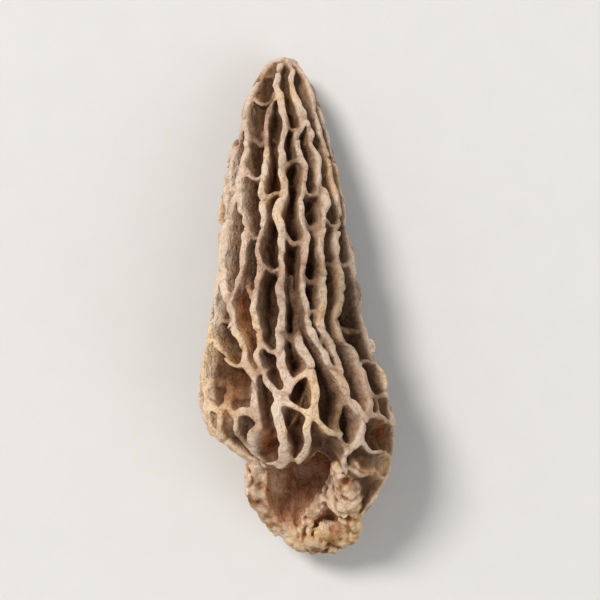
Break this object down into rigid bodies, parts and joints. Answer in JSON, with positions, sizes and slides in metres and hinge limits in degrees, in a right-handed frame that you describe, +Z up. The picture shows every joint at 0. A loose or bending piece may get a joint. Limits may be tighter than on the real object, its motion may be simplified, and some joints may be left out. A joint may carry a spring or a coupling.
{
  "type": "dried morel mushroom",
  "caption": "Dried morel mushroom: a small tapered honeycomb cap with deep pits on a short hollow stem stub with a slanting cut, lying on its side.",
  "frame": {"origin": "on the resting surface, under the centre of the bounding box", "axes": "+Z up from the resting surface, +Y from the cut end of the stem to the tip of the cap, X across the cap"},
  "size_m": [0.0132, 0.0354, 0.0113],
  "materials": {
    "morel_flesh": "dry, matt and slightly leathery; cream-tan ridge crests, dark brown pits, pale granular stem, red-brown hollow"
  },
  "bodies": {
    "root": {"dried_morel": "morel_flesh"}
  },
  "joints": []
}
